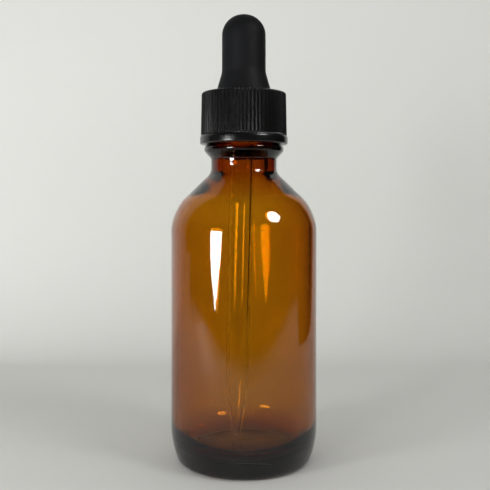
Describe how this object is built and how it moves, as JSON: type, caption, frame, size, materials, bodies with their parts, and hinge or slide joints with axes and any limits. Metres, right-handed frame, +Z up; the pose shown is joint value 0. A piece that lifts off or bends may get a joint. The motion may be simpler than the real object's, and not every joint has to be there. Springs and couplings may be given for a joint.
{
  "type": "dropper bottle",
  "caption": "Round-shouldered amber glass bottle with a ribbed screw cap, a rubber squeeze bulb and a glass dropper pipette that lifts out with the cap.",
  "frame": {"origin": "on the bottle's axis, in the plane of the foot that it stands on", "axes": "+Z up along the bottle's axis; the pipette's tip leans towards -X; the front is -Y"},
  "size_m": [0.0388, 0.0388, 0.1191],
  "materials": {
    "amber_glass": "polished amber glass",
    "clear_glass": "clear drawn glass tube",
    "black_rubber": "matte moulded rubber",
    "black_plastic": "satin moulded plastic"
  },
  "bodies": {
    "bottle": {"bottle": "amber_glass"},
    "dropper": {"pipette": "clear_glass"},
    "bulb": {"bulb": "black_rubber"},
    "cap": {"cap": "black_plastic"}
  },
  "joints": [
    {"name": "dropper_lift", "type": "slide", "parent": "bottle", "child": "dropper", "axis": [0, 0, 1], "range_m": [0, 0.0891]},
    {"name": "cap_turn", "type": "hinge", "parent": "dropper", "child": "cap", "pos_m": [0, 0, 0.0912], "axis": [0, 0, 1], "range_deg": [0, 10080]},
    {"name": "bulb_squeeze", "type": "slide", "parent": "dropper", "child": "bulb", "axis": [0, 0, -1], "range_m": [0, 0.005], "stiffness_N_per_m": 1000, "deforming": ["bulb"]}
  ],
  "couplings": [
    {"joint": "dropper_lift", "follows": "cap_turn", "m_per_rad": 0.00050532}
  ]
}
